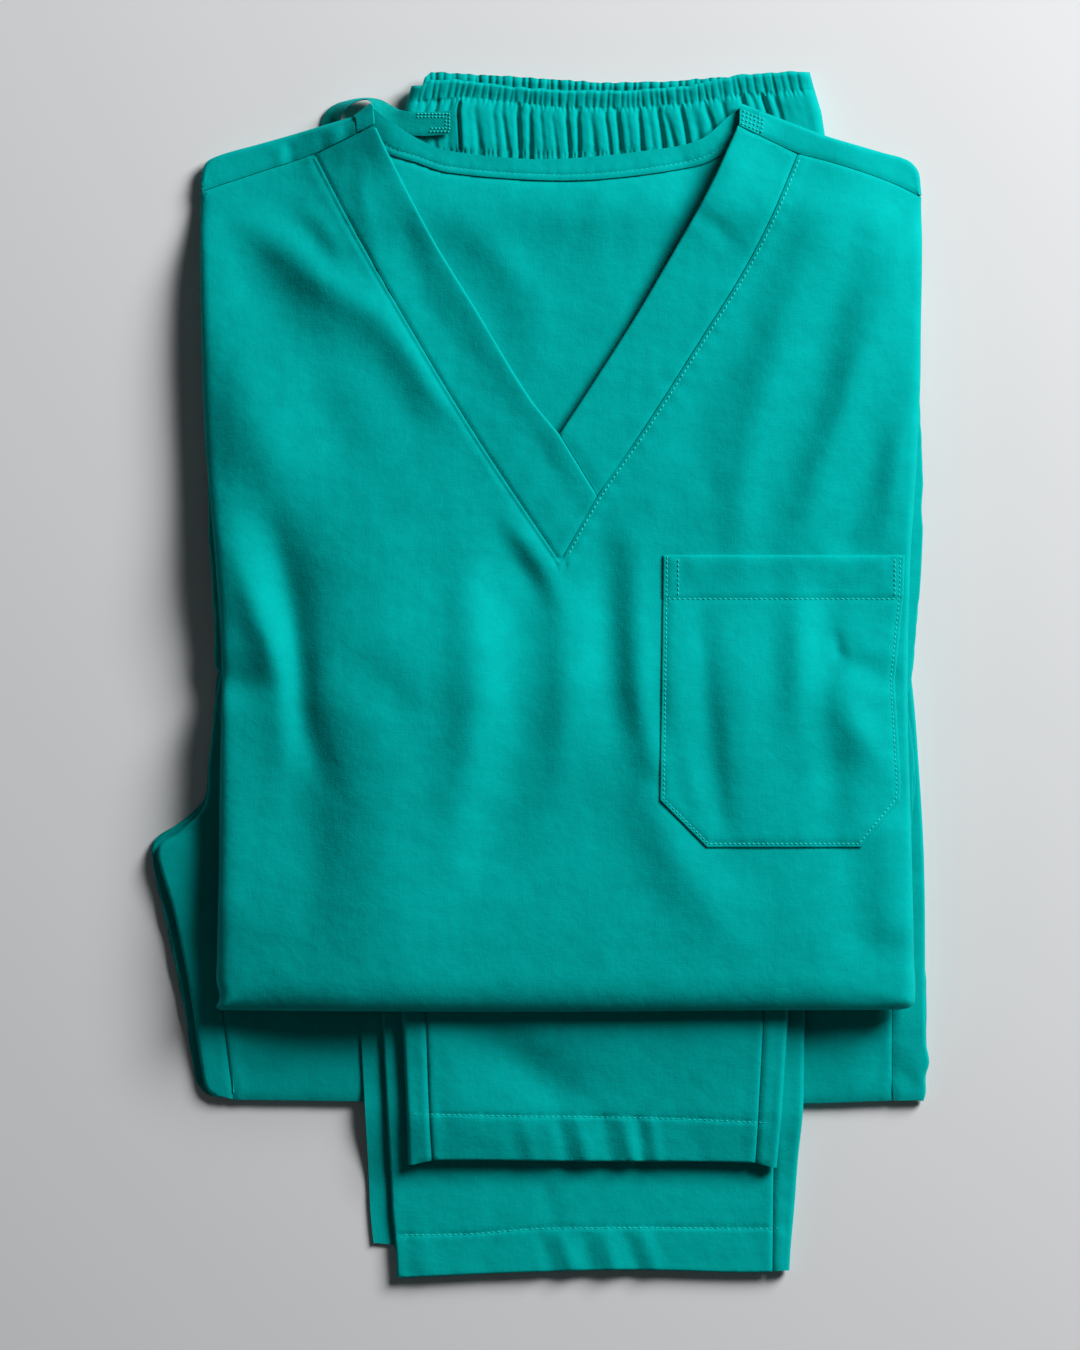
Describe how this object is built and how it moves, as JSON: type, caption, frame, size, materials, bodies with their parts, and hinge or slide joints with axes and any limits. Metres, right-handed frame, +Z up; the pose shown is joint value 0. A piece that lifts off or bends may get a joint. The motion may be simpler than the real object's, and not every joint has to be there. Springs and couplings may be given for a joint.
{
  "type": "medical scrubs",
  "caption": "Folded medical scrub set: a V-neck top with a chest pocket lying on drawstring trousers, hems showing below.",
  "frame": {"origin": "on the surface that the set lies on, under the middle of the folded set", "axes": "+Z up from the surface, +Y towards the collar and the waistband, +X towards the chest pocket"},
  "size_m": [0.4135, 0.6403, 0.0352],
  "materials": {
    "scrub_cloth": "teal-green polyester-cotton poplin, soft matt with a faint sheen",
    "inner_cloth": "the same cloth in the folded layers",
    "tape": "flat twill tape in the colour of the cloth"
  },
  "bodies": {
    "root": {"top_front": "scrub_cloth", "top_back": "scrub_cloth", "neck_band_left": "scrub_cloth", "neck_band_right": "scrub_cloth", "back_neck_band": "scrub_cloth", "chest_pocket": "scrub_cloth", "sleeve_left": "scrub_cloth", "sleeve_right": "scrub_cloth", "top_folded_layers": "inner_cloth", "waistband_front": "scrub_cloth", "waistband_back": "scrub_cloth", "drawstring": "tape", "trousers_front": "scrub_cloth", "trousers_back": "scrub_cloth", "trousers_folded_layers": "inner_cloth", "upper_leg_front": "scrub_cloth", "upper_leg_back": "scrub_cloth", "lower_leg_front": "scrub_cloth", "lower_leg_back": "scrub_cloth"}
  },
  "joints": []
}
